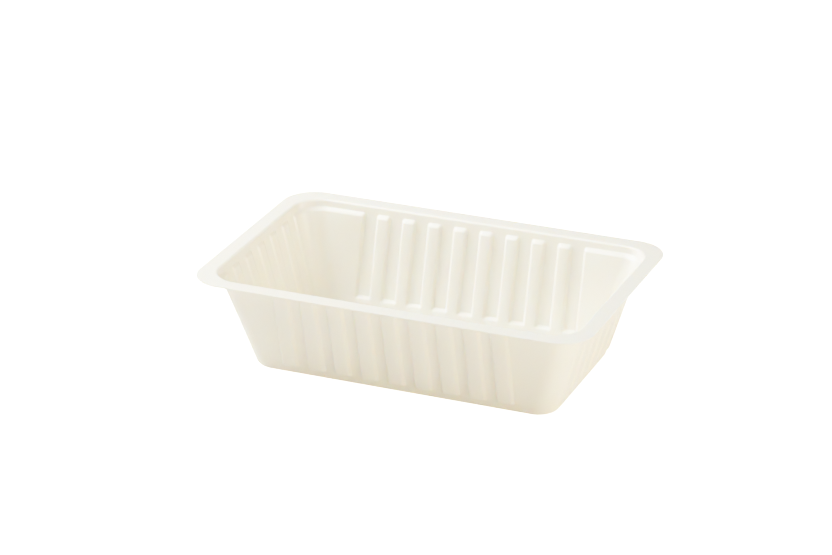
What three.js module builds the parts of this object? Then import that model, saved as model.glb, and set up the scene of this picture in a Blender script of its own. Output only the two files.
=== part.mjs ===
// A snack tray for fries, thermoformed from one thin sheet of cream plastic.
// A flat flange runs round the opening, the walls lean outwards, and shallow channels pushed
// out between the ribs stiffen them. The four corners are plain panels at the ribs' level.
// Millimetres, +Z up, the origin under the middle of the floor, the long side along X.

import * as THREE from 'three';

// ---- driving dimensions ----

const sheetThickness = 0.4;

const flangeLength = 170;
const flangeWidth = 110;
const flangeCornerRadius = 14.3;
const trayHeight = 42.8;

const openingLength = 156.4;
const openingWidth = 95.6;
const openingCornerRadius = 11.7;
const lipRadius = 1.6;            // top face of the bend from the flange into the wall

const floorLength = 131.4;        // the ribs' level carried down to the table, outside
const floorWidth = 71;
const floorCornerRadius = 9.5;
const floorFilletRadius = 3.4;

const sideDepth = 1.5;            // how far a long wall's channel stands out of the ribs' level
const endDepth = 0.8;             // and an end wall's
const channelHalfWidth = 2.4;     // half of a channel's flat face
const flankRun = 1.8;             // length of the slope beside that face
const channelTop = 39.8;          // above this height the wall is one plain band
const capHeight = 1.7;            // height of the sloping caps that end the ribs and panels
const channelFoot = 4.9;          // below this height a channel runs back into the ribs' level

const sideChannels = 9;
const sidePitch = 11.7;
const endChannels = 6;
const endPitch = 12.2;            // at the flange: the end walls' channels draw together below
const endPitchNarrowing = 0.84;

const cornerStations = 9;
const lipSteps = 4;
const filletSteps = 4;

const cornerDepth = (sideDepth + endDepth) / 2;
const wallLean = Math.atan((openingLength - floorLength) / 2 / trayHeight);

// ---- outlines: rounded rectangles, each a half length, a half width and a corner radius ----

const flangeOutline = {
  halfLength: flangeLength / 2,
  halfWidth: flangeWidth / 2,
  radius: flangeCornerRadius,
};

// The outside of the wall at a height, grown sideways by an amount. relief is 0 at the ribs'
// level and 1 at the level of the plain band, with which the channels are flush.
function wallOutline(height, growth, relief) {
  const share = height / trayHeight;
  const between = (low, high, depth) => (
    low + (high + sheetThickness - depth - low) * share + growth + depth * relief
  );
  return {
    halfLength: between(floorLength / 2, openingLength / 2, endDepth),
    halfWidth: between(floorWidth / 2, openingWidth / 2, sideDepth),
    radius: between(floorCornerRadius, openingCornerRadius, cornerDepth),
  };
}

// ---- stations: the places round the tray that every row of points uses ----

// Across one wall: where each channel's slopes start and end, and whether it is at full depth.
function channelStations(count, pitch) {
  const stations = [];
  for (let k = 0; k < count; k += 1) {
    const centre = (k - (count - 1) / 2) * pitch;
    stations.push({ along: centre - channelHalfWidth - flankRun, channel: 0 });
    stations.push({ along: centre - channelHalfWidth, channel: 1 });
    stations.push({ along: centre + channelHalfWidth, channel: 1 });
    stations.push({ along: centre + channelHalfWidth + flankRun, channel: 0 });
  }
  return stations;
}

const sideStations = channelStations(sideChannels, sidePitch);
const endStations = channelStations(endChannels, endPitch);

// How far a rounded rectangle's wall stands out at a distance along it, past the corner's start too.
function reachAt(along, halfAlong, halfAcross, radius) {
  const past = Math.abs(along) - (halfAlong - radius);
  if (past <= 0) {
    return halfAcross;
  }
  return halfAcross - radius + Math.sqrt(radius * radius - past * past);
}

// One closed row of points, anticlockwise from above, from the +X wall's -Y end.
// channelShare is how much of their depth the channels have in this row, endNarrowing draws
// the end walls' channels together, and height is the row's level.
function rowOfPoints(outline, height, channelShare, endNarrowing) {
  const points = [];

  const endWall = (facing) => {
    for (const station of endStations) {
      const along = station.along * endNarrowing;
      const extra = endDepth * channelShare * station.channel;
      const reach = reachAt(along, outline.halfWidth + extra, outline.halfLength + extra,
        outline.radius + extra);
      points.push([facing * reach, facing * along, height]);
    }
  };

  const sideWall = (facing) => {
    for (const station of sideStations) {
      const extra = sideDepth * channelShare * station.channel;
      const reach = reachAt(station.along, outline.halfLength + extra, outline.halfWidth + extra,
        outline.radius + extra);
      points.push([-facing * station.along, facing * reach, height]);
    }
  };

  // A corner's arc starts where the end wall's last station is, or where the straight wall stops.
  const corner = (lengthSign, widthSign) => {
    const centreX = outline.halfLength - outline.radius;
    const centreY = outline.halfWidth - outline.radius;
    const lastAlongEnd = endStations[endStations.length - 1].along * endNarrowing;
    const lastAlongSide = sideStations[sideStations.length - 1].along;
    const start = Math.asin(Math.max(0, lastAlongEnd - centreY) / outline.radius);
    const end = Math.PI / 2 - Math.asin(Math.max(0, lastAlongSide - centreX) / outline.radius);
    const forwards = lengthSign * widthSign > 0;
    for (let k = 0; k < cornerStations; k += 1) {
      const step = (forwards ? k : cornerStations - 1 - k) + 0.5;
      const angle = start + (end - start) * step / cornerStations;
      points.push([
        lengthSign * (centreX + outline.radius * Math.cos(angle)),
        widthSign * (centreY + outline.radius * Math.sin(angle)),
        height,
      ]);
    }
  };

  endWall(1);
  corner(1, 1);
  sideWall(1);
  corner(-1, 1);
  endWall(-1);
  corner(-1, -1);
  sideWall(-1);
  corner(1, -1);
  return points;
}

// ---- the sheet's section, from the floor up to the flange ----

// A place on the section gives both faces of the sheet. tilt is the slope of the sheet's normal:
// 0 where the sheet stands upright and a right angle where it lies flat.
function wallPlace(height, growth, relief, channelShare, tilt, level = height) {
  return { height, growth, relief, channelShare, tilt, level };
}

function sectionPlaces() {
  const places = [];
  const flat = Math.PI / 2;

  const filletStart = floorFilletRadius * (1 - Math.sin(wallLean));
  for (let k = filletSteps; k >= 0; k -= 1) {
    const tilt = wallLean + (flat - wallLean) * k / filletSteps;
    const height = floorFilletRadius * (1 - Math.sin(tilt));
    const growth = floorFilletRadius * (Math.cos(tilt) - Math.cos(wallLean));
    places.push(wallPlace(height, growth, 0, 0, tilt, filletStart));
  }

  places.push(wallPlace(channelFoot, 0, 0, 1, wallLean));
  places.push(wallPlace(channelTop - capHeight, 0, 0, 1, wallLean));
  places.push(wallPlace(channelTop, 0, 1, 0, wallLean));

  const underRadius = lipRadius - sheetThickness;
  const bendCentre = trayHeight - lipRadius;
  const bendEnd = bendCentre + underRadius * Math.sin(wallLean);
  for (let k = 0; k <= lipSteps; k += 1) {
    const tilt = wallLean + (flat - wallLean) * k / lipSteps;
    const height = bendCentre + underRadius * Math.sin(tilt);
    const growth = underRadius * (Math.cos(wallLean) - Math.cos(tilt));
    places.push(wallPlace(height, growth, 1, 0, tilt, bendEnd));
  }
  return places;
}

// The outside face's row at a place, or the inside face's, one sheet further in or up.
function wallRow(place, inside) {
  const step = inside ? sheetThickness : 0;
  const growth = place.growth - step * Math.cos(place.tilt);
  const outline = wallOutline(place.level, growth, place.relief);
  const narrowing = endPitchNarrowing + (1 - endPitchNarrowing) * place.level / trayHeight;
  const height = place.height + step * Math.sin(place.tilt);
  return rowOfPoints(outline, height, place.channelShare, narrowing);
}

// ---- the tray: rows up the outside, over the flange's edge and down the inside ----

function trayGeometry() {
  const places = sectionPlaces();
  const rows = [];
  for (const place of places) {
    rows.push(wallRow(place, false));
  }
  rows.push(rowOfPoints(flangeOutline, trayHeight - sheetThickness, 0, 1));
  rows.push(rowOfPoints(flangeOutline, trayHeight, 0, 1));
  for (const place of [...places].reverse()) {
    rows.push(wallRow(place, true));
  }

  const around = rows[0].length;
  const positions = rows.flat(2);
  const underCentre = rows.length * around;
  const insideCentre = underCentre + 1;
  positions.push(0, 0, 0);
  positions.push(0, 0, sheetThickness);

  const faces = [];
  for (let j = 0; j < around; j += 1) {
    const next = (j + 1) % around;
    faces.push(underCentre, next, j);
    for (let i = 0; i + 1 < rows.length; i += 1) {
      const here = i * around;
      const above = here + around;
      faces.push(here + j, here + next, above + next);
      faces.push(here + j, above + next, above + j);
    }
    const lastRow = (rows.length - 1) * around;
    faces.push(insideCentre, lastRow + j, lastRow + next);
  }

  const geometry = new THREE.BufferGeometry();
  geometry.setAttribute('position', new THREE.Float32BufferAttribute(positions, 3));
  geometry.setIndex(faces);
  geometry.computeVertexNormals();
  return geometry;
}

const creamPlastic = new THREE.MeshStandardMaterial({
  color: '#efe7d6',
  roughness: 0.42,
  metalness: 0,
});

const tray = new THREE.Mesh(trayGeometry(), creamPlastic);
tray.name = 'tray';

const friesTray = new THREE.Group();
friesTray.add(tray);

export default friesTray;
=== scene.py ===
import math

import bmesh
import bpy
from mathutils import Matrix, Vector


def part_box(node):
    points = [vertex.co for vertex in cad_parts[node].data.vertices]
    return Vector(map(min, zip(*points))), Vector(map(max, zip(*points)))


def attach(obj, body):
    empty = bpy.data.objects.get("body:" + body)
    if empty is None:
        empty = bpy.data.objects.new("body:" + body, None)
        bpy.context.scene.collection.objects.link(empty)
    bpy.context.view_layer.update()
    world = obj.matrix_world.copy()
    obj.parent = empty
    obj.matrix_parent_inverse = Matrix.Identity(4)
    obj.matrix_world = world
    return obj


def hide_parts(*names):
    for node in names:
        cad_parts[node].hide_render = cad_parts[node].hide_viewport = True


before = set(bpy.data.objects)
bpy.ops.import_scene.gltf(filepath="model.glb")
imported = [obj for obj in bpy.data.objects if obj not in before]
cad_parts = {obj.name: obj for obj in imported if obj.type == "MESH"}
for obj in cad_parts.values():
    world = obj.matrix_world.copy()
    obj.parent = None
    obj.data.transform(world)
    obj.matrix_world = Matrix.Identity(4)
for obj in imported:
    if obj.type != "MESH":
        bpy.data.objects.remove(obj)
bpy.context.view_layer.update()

mm = 0.001
slack = 0.001 * mm                # for comparing places
quarterTurn = math.pi / 2


def selectOnly(piece):
    bpy.ops.object.select_all(action="DESELECT")
    piece.select_set(True)
    bpy.context.view_layer.objects.active = piece


def editOnly(piece):
    selectOnly(piece)
    bpy.ops.object.mode_set(mode="EDIT")
    bpy.ops.mesh.select_mode(type="VERT")
    bpy.ops.mesh.select_all(action="DESELECT")


# Selects, in edit mode, the points that a test accepts.
def pickVerts(piece, wanted):
    mesh = bmesh.from_edit_mesh(piece.data)
    for vert in mesh.verts:
        vert.select_set(wanted(vert.co))
    mesh.select_flush_mode()
    bmesh.update_edit_mesh(piece.data)


def applyModifier(piece, kind, **values):
    selectOnly(piece)
    modifier = piece.modifiers.new(kind.title(), kind)
    for name, value in values.items():
        setattr(modifier, name, value)
    bpy.ops.object.modifier_apply(modifier=modifier.name)


# Heights and sizes are of the sheet's outer face, except that the opening is of its inner face.
tray = {
    "sheet": 0.4 * mm,
    "rimCorner": 14.3 * mm,
    "rimSteps": (0.1, 0.9, 1),    # loops across the flat of the rim
    "openingLength": 156.4 * mm,
    "openingWidth": 95.6 * mm,
    "openingCorner": 11.7 * mm,
    "lipRadius": 1.5 * mm,        # inner face of the bend from the rim into the wall
    "floorLength": 131.4 * mm,    # the ribs' level carried down to the table
    "floorWidth": 71 * mm,
    "floorCorner": 9.5 * mm,
    "floorEdge": 3.4 * mm,        # radius of the bend from the floor into the wall
    "floorBorder": 0.6 * mm,      # a narrow border that keeps the floor flat
    "wallSteps": 5,
    "bendSteps": 8,
    "cornerSteps": 18,
    "smoothAngle": 50,            # degrees: sharper edges stay sharp
}

channels = {
    "sideDepth": 1.5 * mm,
    "endDepth": 0.6 * mm,         # the end walls' channels are shallower
    "flatWidth": 5.0 * mm,
    "flank": 1.6 * mm,            # the rounded slope beside a channel's flat
    "foot": 5.3 * mm,             # a channel's flat starts this high
    "top": 39.9 * mm,             # the ribs' caps run out here, under the plain band
    "capHeight": 1.95 * mm,
    "sideCount": 9,
    "sidePitch": 11.7 * mm,
    "endCount": 6,
    "endPitch": 12.2 * mm,
    "endNarrowing": 0.84,         # the end walls' channels draw together towards the floor
    "flankSteps": (0, 0.14, 0.3, 0.5, 0.7, 0.86, 1),
}

rimLength, rimWidth, trayHeight = (high - low for low, high in zip(*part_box("tray")))
wallLean = math.atan((tray["openingLength"] - tray["floorLength"]) / 2 / trayHeight)


def smoothStep(share):
    share = min(1, max(0, share))
    return share * share * (3 - 2 * share)


# The columns of faces across one wall: distances from the wall's middle.
def columnPlaces(count, pitch):
    places = []
    for index in range(count):
        centre = (index - (count - 1) / 2) * pitch
        flat = channels["flatWidth"] / 2
        slope = [flat + channels["flank"] * step for step in channels["flankSteps"]]
        places += [centre - place for place in reversed(slope)]
        places += [centre + place for place in slope]
    return places


sideColumns = columnPlaces(channels["sideCount"], channels["sidePitch"])
endColumns = columnPlaces(channels["endCount"], channels["endPitch"])


# The wall's outside at a height, grown sideways: half length, half width and corner radius.
# relief is 0 at the ribs' level and 1 at the plain band's, which the channels reach.
def wallOutline(height, growth, relief):
    share = height / trayHeight
    low = (tray["floorLength"] / 2, tray["floorWidth"] / 2, tray["floorCorner"])
    high = (tray["openingLength"] / 2, tray["openingWidth"] / 2, tray["openingCorner"])
    depths = (channels["endDepth"], channels["sideDepth"],
              (channels["endDepth"] + channels["sideDepth"]) / 2)
    return [start + (end + tray["sheet"] - depth - start) * share + growth + depth * relief
            for start, end, depth in zip(low, high, depths)]


# How far the end walls' channels are drawn together at a height: 1 at the rim.
def narrowing(height):
    return channels["endNarrowing"] + (1 - channels["endNarrowing"]) * height / trayHeight


# How far an outline stands out at a distance along one of its walls, past the corner's start too.
def reachAt(along, halfAlong, halfAcross, corner):
    past = max(0, abs(along) - (halfAlong - corner))
    return halfAcross - corner + math.sqrt(corner * corner - past * past)


# One loop round the tray, anticlockwise, with a point at every column.
def loopPlaces(outline, height, endShare):
    halfLength, halfWidth, corner = outline
    quarter = []
    for along in endColumns[len(endColumns) // 2:]:
        along *= endShare
        quarter.append((reachAt(along, halfWidth, halfLength, corner), along))
    centreX, centreY = halfLength - corner, halfWidth - corner
    start = math.asin(max(0, quarter[-1][1] - centreY) / corner)
    end = quarterTurn - math.asin(max(0, sideColumns[-1] - centreX) / corner)
    for step in range(1, tray["cornerSteps"]):
        angle = start + (end - start) * step / tray["cornerSteps"]
        quarter.append((centreX + corner * math.cos(angle), centreY + corner * math.sin(angle)))
    for along in reversed(sideColumns[len(sideColumns) // 2:]):
        quarter.append((along, reachAt(along, halfLength, halfWidth, corner)))

    loop = list(quarter)
    loop += [(-x, y) for x, y in reversed(quarter)]
    loop += [(-x, -y) for x, y in quarter]
    loop += [(x, -y) for x, y in reversed(quarter)]
    return [Vector((x, y, height)) for x, y in loop]


# The loops from the floor's edge up to the channels' top, all at the ribs' level.
def wallLoops():
    loops = []
    radius = tray["floorEdge"]
    bendTop = radius * (1 - math.sin(wallLean))
    for step in range(tray["bendSteps"] + 1):
        tilt = quarterTurn + (wallLean - quarterTurn) * step / tray["bendSteps"]
        outline = wallOutline(bendTop, radius * (math.cos(tilt) - math.cos(wallLean)), 0)
        loops.append(loopPlaces(outline, radius * (1 - math.sin(tilt)), narrowing(bendTop)))

    ledge = channels["flank"] * math.cos(wallLean)
    capFoot = channels["top"] - channels["capHeight"]
    stretch = (capFoot - channels["foot"]) / tray["wallSteps"]
    steps = channels["flankSteps"][1:]
    heights = [channels["foot"] - ledge * (1 - step) for step in steps]
    heights += [channels["foot"] + stretch * (k + 1) for k in range(tray["wallSteps"])]
    heights += [capFoot + channels["capHeight"] * step for step in steps]
    for height in heights:
        loops.append(loopPlaces(wallOutline(height, 0, 0), height, narrowing(height)))
    return loops


# The loops of the bend over into the rim, out to the rim's edge.
def rimLoops():
    loops = []
    radius = tray["lipRadius"] - tray["sheet"]
    bendFoot = trayHeight - tray["lipRadius"] + radius * math.sin(wallLean)
    for step in range(tray["bendSteps"] + 1):
        tilt = wallLean + (quarterTurn - wallLean) * step / tray["bendSteps"]
        height = trayHeight - tray["lipRadius"] + radius * math.sin(tilt)
        growth = radius * (math.cos(wallLean) - math.cos(tilt))
        loops.append(loopPlaces(wallOutline(bendFoot, growth, 1), height, 1))
    inner = Vector(wallOutline(bendFoot, growth, 1))
    outer = Vector((rimLength / 2, rimWidth / 2, tray["rimCorner"]))
    for share in tray["rimSteps"]:
        loops.append(loopPlaces(inner.lerp(outer, share), trayHeight - tray["sheet"], 1))
    return loops


# Puts the newest points, one loop of them, at their places.
def placeVerts(piece, places):
    mesh = bmesh.from_edit_mesh(piece.data)
    mesh.verts.ensure_lookup_table()
    for vert, place in zip(mesh.verts[-len(places):], places):
        vert.co = place
    bmesh.update_edit_mesh(piece.data)


def extrudeLoops(piece, loops):
    for places in loops:
        bpy.ops.mesh.extrude_edges_move()
        placeVerts(piece, places)


# The channels' flats are pushed out of the ribs' level, and the flanks follow them smoothly.
def pushChannels(piece):
    flat = channels["flatWidth"] / 2

    def inChannel(along, count, pitch):
        index = round(along / pitch + (count - 1) / 2)
        centre = (index - (count - 1) / 2) * pitch
        return 0 <= index < count and abs(along - centre) < flat + slack

    def onSide(place):
        if abs(place.x) > sideColumns[-1] + slack or abs(place.y) < tray["floorWidth"] / 2 - slack:
            return False
        return inChannel(place.x, channels["sideCount"], channels["sidePitch"])

    def onEnd(place):
        along = place.y / narrowing(place.z)
        if abs(along) > endColumns[-1] + slack or abs(place.x) < sideColumns[-1] + slack:
            return False
        return inChannel(along, channels["endCount"], channels["endPitch"])

    for facing in (-1, 1):
        for onWall, push in ((onSide, Vector((0, channels["sideDepth"], 0))),
                             (onEnd, Vector((channels["endDepth"], 0, 0)))):
            pickVerts(piece, lambda place: place.z > channels["foot"] - slack
                      and place.dot(push) * facing > 0 and onWall(place))
            bpy.ops.transform.translate(
                value=push * facing, use_proportional_edit=True,
                proportional_edit_falloff="SMOOTH", proportional_size=channels["flank"])


# The ribs and the corner panels end in caps, which rise to the band that the channels run into.
def raiseCaps(piece, loops):
    mesh = bmesh.from_edit_mesh(piece.data)
    mesh.verts.ensure_lookup_table()
    steps = channels["flankSteps"][1:]
    for row, step in zip(range(len(loops) - len(steps), len(loops)), steps):
        height = loops[row][0].z
        band = loopPlaces(wallOutline(height, 0, 1), height, narrowing(height))
        for index, (rib, channel) in enumerate(zip(loops[row], band)):
            vert = mesh.verts[row * len(band) + index]
            pushed = min(1, (vert.co - rib).length / (channel - rib).length)
            vert.co = rib.lerp(channel, 1 - (1 - pushed) * (1 - smoothStep(step)))
    bmesh.update_edit_mesh(piece.data)


def makeTray():
    loops = wallLoops()
    bpy.ops.object.select_all(action="DESELECT")
    bpy.ops.mesh.primitive_circle_add(vertices=len(loops[0]), radius=1, fill_type="NOTHING")
    piece = bpy.context.object
    piece.name = "traySheet"
    editOnly(piece)
    placeVerts(piece, loops[0])
    bpy.ops.mesh.select_all(action="SELECT")
    extrudeLoops(piece, loops[1:])
    pushChannels(piece)
    raiseCaps(piece, loops)

    pickVerts(piece, lambda place: place.z > channels["top"] - slack)
    extrudeLoops(piece, rimLoops())

    pickVerts(piece, lambda place: place.z < slack)
    bpy.ops.mesh.edge_face_add()
    bpy.ops.mesh.inset(thickness=tray["floorBorder"])

    # it is an open shell here, and its underside is its outside
    bpy.ops.mesh.select_all(action="SELECT")
    bpy.ops.mesh.normals_make_consistent(inside=True)
    bpy.ops.object.mode_set(mode="OBJECT")
    return piece


traySheet = makeTray()
print("tray shell", len(traySheet.data.vertices), "vertices")

applyModifier(traySheet, "SOLIDIFY", thickness=tray["sheet"], offset=-1, use_even_offset=True)
bpy.ops.object.shade_smooth_by_angle(angle=math.radians(tray["smoothAngle"]))
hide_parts("tray")
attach(traySheet, "root")
print("tray solid", len(traySheet.data.polygons), "faces")


# The plastic: a satin, slightly cloudy sheet that lets some light through.
plastic = {
    "colour": (0.944, 0.883, 0.775, 1),
    "cloudColour": (0.928, 0.877, 0.796, 1),
    "cloudSize": 22 * mm,
    "cloudFrom": 0.35,            # the noise's level where a cloud starts
    "cloudTo": 0.65,              # and where it is full
    "cloudAmount": 0.6,
    "grainSize": 0.5 * mm,
    "grainHeight": 0.06,          # as a share of the ripple's
    "rippleSize": 7 * mm,
    "roughness": 0.3,
    "roughnessSpread": 0.1,
    "bumpHeight": 0.05 * mm,
    "ior": 1.49,
    "subsurface": 1.0,
    "radius": (1.0, 0.84, 0.66),
    "scale": 0.35 * mm,
}

# The finish's inputs: name, kind and the plastic's value for it.
finishInputs = (
    ("Colour", "Color", "colour"),
    ("Cloud Colour", "Color", "cloudColour"),
    ("Cloud Size", "Float", "cloudSize"),
    ("Cloud From", "Float", "cloudFrom"),
    ("Cloud To", "Float", "cloudTo"),
    ("Cloud Amount", "Float", "cloudAmount"),
    ("Grain Size", "Float", "grainSize"),
    ("Grain Height", "Float", "grainHeight"),
    ("Ripple Size", "Float", "rippleSize"),
    ("Roughness", "Float", "roughness"),
    ("Roughness Spread", "Float", "roughnessSpread"),
)


# Cloudiness, fine grain and the soft ripple of a formed sheet, for any sheet material.
def makeSheetFinish():
    group = bpy.data.node_groups.new("sheetFinish", "ShaderNodeTree")
    nodes, links = group.nodes, group.links

    def addSocket(name, way, kind):
        group.interface.new_socket(name=name, in_out=way, socket_type="NodeSocket" + kind)

    addSocket("Place", "INPUT", "Vector")
    for name, kind, key in finishInputs:
        addSocket(name, "INPUT", kind)
    addSocket("Colour", "OUTPUT", "Color")
    addSocket("Roughness", "OUTPUT", "Float")
    addSocket("Height", "OUTPUT", "Float")
    given = nodes.new("NodeGroupInput").outputs
    made = nodes.new("NodeGroupOutput").inputs

    # a Math node, fed by numbers and by sockets
    def maths(operation, *values):
        node = nodes.new("ShaderNodeMath")
        node.operation = operation
        for socket, value in zip(node.inputs, values):
            if isinstance(value, (int, float)):
                socket.default_value = value
            else:
                links.new(value, socket)
        return node.outputs[0]

    def noise(size, detail):
        texture = nodes.new("ShaderNodeTexNoise")
        texture.inputs["Detail"].default_value = detail
        links.new(given["Place"], texture.inputs["Vector"])
        links.new(maths("DIVIDE", 1, given[size]), texture.inputs["Scale"])
        return texture.outputs[0]

    cloud = nodes.new("ShaderNodeMapRange")
    links.new(noise("Cloud Size", detail=2), cloud.inputs["Value"])
    links.new(given["Cloud From"], cloud.inputs["From Min"])
    links.new(given["Cloud To"], cloud.inputs["From Max"])
    links.new(given["Cloud Amount"], cloud.inputs["To Max"])
    blend = nodes.new("ShaderNodeMix")
    blend.data_type = "RGBA"
    links.new(cloud.outputs[0], blend.inputs[0])
    links.new(given["Colour"], blend.inputs[6])
    links.new(given["Cloud Colour"], blend.inputs[7])
    links.new(blend.outputs[2], made["Colour"])

    grain = noise("Grain Size", detail=2)
    swing = maths("SUBTRACT", grain, 0.5)      # the grain, up and down from zero
    rough = maths("MULTIPLY_ADD", swing, given["Roughness Spread"], given["Roughness"])
    links.new(rough, made["Roughness"])
    ripple = noise("Ripple Size", detail=1)
    links.new(maths("MULTIPLY_ADD", grain, given["Grain Height"], ripple), made["Height"])
    return group


def makePlastic():
    material = bpy.data.materials.new("creamPlastic")
    material.use_nodes = True
    nodes, links = material.node_tree.nodes, material.node_tree.links
    shader = nodes["Principled BSDF"]
    shader.inputs["IOR"].default_value = plastic["ior"]
    shader.inputs["Subsurface Weight"].default_value = plastic["subsurface"]
    shader.inputs["Subsurface Radius"].default_value = plastic["radius"]
    shader.inputs["Subsurface Scale"].default_value = plastic["scale"]

    place = nodes.new("ShaderNodeTexCoord")
    finish = nodes.new("ShaderNodeGroup")
    finish.node_tree = makeSheetFinish()
    links.new(place.outputs["Object"], finish.inputs["Place"])
    for name, kind, key in finishInputs:
        finish.inputs[name].default_value = plastic[key]
    bump = nodes.new("ShaderNodeBump")
    bump.inputs["Strength"].default_value = 1
    bump.inputs["Distance"].default_value = plastic["bumpHeight"]
    links.new(finish.outputs["Height"], bump.inputs["Height"])
    links.new(finish.outputs["Colour"], shader.inputs["Base Color"])
    links.new(finish.outputs["Roughness"], shader.inputs["Roughness"])
    links.new(bump.outputs["Normal"], shader.inputs["Normal"])
    return material


traySheet.data.materials.clear()
traySheet.data.materials.append(makePlastic())
print("plastic ready")


# The studio: a white floor and soft lamps. A lamp's azimuth turns from the front to the right.
studio = {
    "floorSize": 8,
    "floorGap": 0.02 * mm,        # a hair below the tray, so that no two faces share a plane
    "floorColour": (0.6, 0.59, 0.57, 1),
    "floorRoughness": 0.9,
    "floorGlow": 1.6,             # only for the camera, which sees the floor as plain white
    "floorLight": 0.13,           # the soft light that the floor gives the tray
    "floorTint": (1, 0.87, 0.7, 1),
    "worldColour": (1, 1, 1, 1),
    "worldStrength": 0.01,
    "lampDistance": 1.0,
    "highlights": 4.0,            # how softly the bright end of the picture rolls off
    "tones": (0.03, 0.08, 0.15, 0.25, 0.37, 0.5, 0.65, 0.82),   # points on that curve
}

lamps = {                         # azimuth, elevation, size, power, colour
    "key": (-90, 45, 0.5, 3.65, (1, 1, 1)),
    "highLeft": (-90, 65, 0.5, 1.6, (1, 0.965, 0.88)),
    "lowLeft": (-90, 12, 0.4, 1.05, (1, 0.98, 0.94)),
    "frontLeft": (-45, 60, 0.5, 1.85, (0.82, 0.935, 1)),
    "lowRight": (100, 12, 0.4, 2.05, (1, 0.935, 0.84)),
    "lowFrontRight": (60, 12, 0.4, 1.2, (1, 0.89, 0.77)),
}

view = {
    "azimuth": 22.479,
    "elevation": 23.293,
    "distance": 1.3833,
    "focus": (-0.03837, 0.07595, 0),      # the point on the floor that the camera looks at
    "lens": 136.79,
    "sensor": 36,
}


def wayTo(azimuth, elevation):
    turn, rise = math.radians(azimuth), math.radians(elevation)
    across = math.cos(rise)
    return Vector((math.sin(turn) * across, -math.cos(turn) * across, math.sin(rise)))


def makeFloor():
    bpy.ops.object.select_all(action="DESELECT")
    bpy.ops.mesh.primitive_plane_add(
        size=studio["floorSize"], location=(0, 0, -studio["floorGap"]))
    floor = bpy.context.object
    floor.name = "studioFloor"
    material = bpy.data.materials.new("floorWhite")
    material.use_nodes = True
    nodes, links = material.node_tree.nodes, material.node_tree.links
    shader = nodes["Principled BSDF"]
    shader.inputs["Base Color"].default_value = studio["floorColour"]
    shader.inputs["Roughness"].default_value = studio["floorRoughness"]
    shader.inputs["Emission Color"].default_value = studio["floorTint"]
    ray = nodes.new("ShaderNodeLightPath")
    glow = nodes.new("ShaderNodeMath")
    glow.operation = "MULTIPLY_ADD"
    glow.inputs[1].default_value = studio["floorGlow"]
    glow.inputs[2].default_value = studio["floorLight"]
    links.new(ray.outputs["Is Camera Ray"], glow.inputs[0])
    links.new(glow.outputs[0], shader.inputs["Emission Strength"])
    floor.data.materials.append(material)


def makeWorld():
    world = bpy.data.worlds.new("studioWorld")
    bpy.context.scene.world = world
    world.use_nodes = True
    background = world.node_tree.nodes["Background"]
    background.inputs["Color"].default_value = studio["worldColour"]
    background.inputs["Strength"].default_value = studio["worldStrength"]


def addLamp(name, azimuth, elevation, size, power, colour):
    way = wayTo(azimuth, elevation)
    bpy.ops.object.light_add(type="AREA", location=way * studio["lampDistance"],
                             rotation=way.to_track_quat("Z", "Y").to_euler())
    lamp = bpy.context.object
    lamp.name = name
    lamp.data.size = size
    lamp.data.energy = power
    lamp.data.color = colour


def makeCamera():
    place = Vector(view["focus"]) + wayTo(view["azimuth"], view["elevation"]) * view["distance"]
    turn = (math.radians(90 - view["elevation"]), 0, math.radians(view["azimuth"]))
    bpy.ops.object.camera_add(location=place, rotation=turn)
    camera = bpy.context.object
    camera.data.sensor_width = view["sensor"]
    camera.data.lens = view["lens"]
    bpy.context.scene.camera = camera


# Bright tones roll off softly towards white, as in a photograph.
def softenHighlights():
    settings = bpy.context.scene.view_settings
    settings.view_transform = "Standard"
    settings.use_curve_mapping = True
    curve = settings.curve_mapping.curves[3]       # the one for all three colours
    strength = studio["highlights"]
    for tone in studio["tones"]:
        curve.points.new(tone, (1 - math.exp(-strength * tone)) / (1 - math.exp(-strength)))
    settings.curve_mapping.update()


makeFloor()
makeWorld()
for name, values in lamps.items():
    addLamp(name, *values)
makeCamera()
softenHighlights()
print("studio ready")
